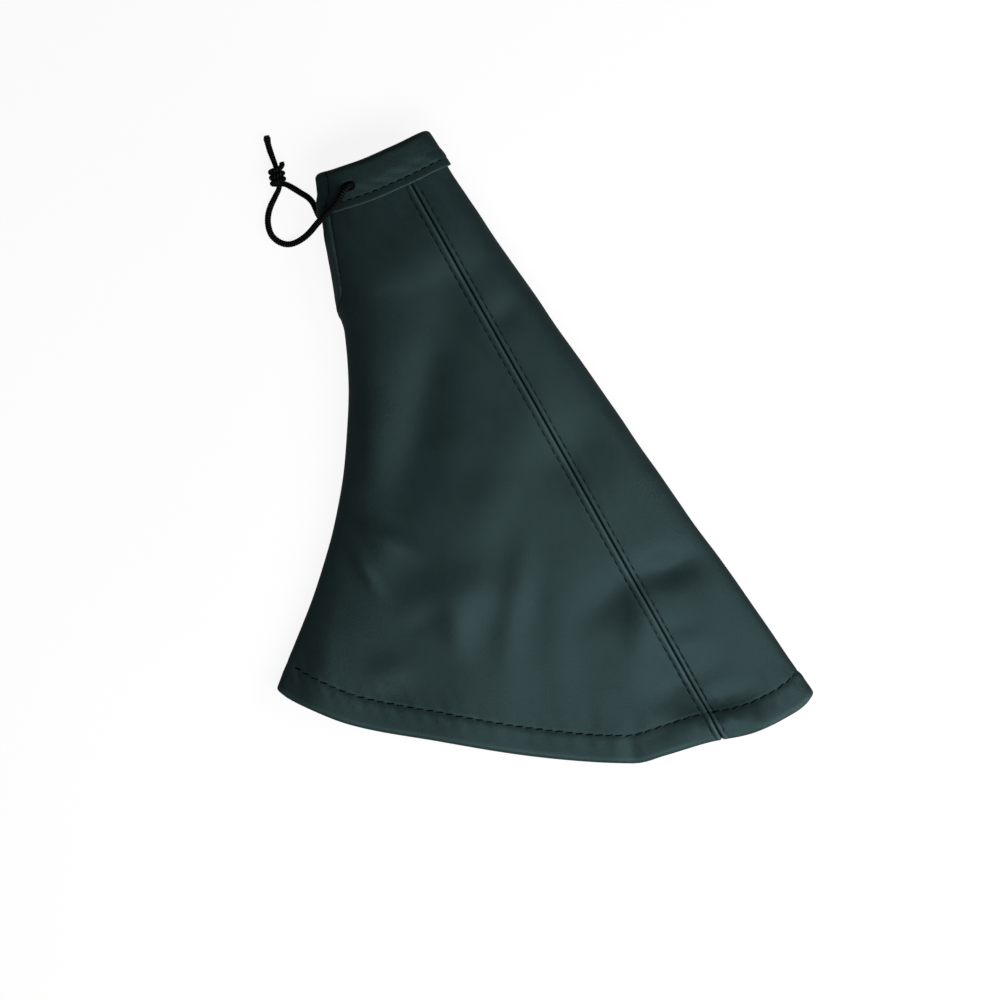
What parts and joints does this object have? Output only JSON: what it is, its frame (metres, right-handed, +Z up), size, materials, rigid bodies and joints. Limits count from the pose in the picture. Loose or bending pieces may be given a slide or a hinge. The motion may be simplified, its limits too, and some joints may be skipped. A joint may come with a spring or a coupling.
{
  "type": "handbrake gaiter",
  "caption": "Soft tapering sleeve of sewn leatherette panels that covers a handbrake lever's base, with a hemmed wide end and a drawcord collar at the narrow end.",
  "frame": {"origin": "on the table under the middle of the sewn sleeve's bounding box, the free cord left out", "axes": "the gaiter lies on its right side panel as in the picture: +Z up off the table, +Y from the hemmed base towards the collar, +X along the base line towards the straight back fold"},
  "size_m": [0.2202, 0.2527, 0.0247],
  "materials": {
    "leatherette_left": "grained, satin",
    "leatherette_right": "grained, satin",
    "leatherette_centre": "grained, satin",
    "leatherette_collar": "grained, satin",
    "elastic_cord": "braided, matt"
  },
  "bodies": {
    "root": {"side_panel_left": "leatherette_left", "side_panel_right": "leatherette_right", "centre_panel": "leatherette_centre", "collar_band": "leatherette_collar", "drawcord": "elastic_cord"}
  },
  "joints": []
}
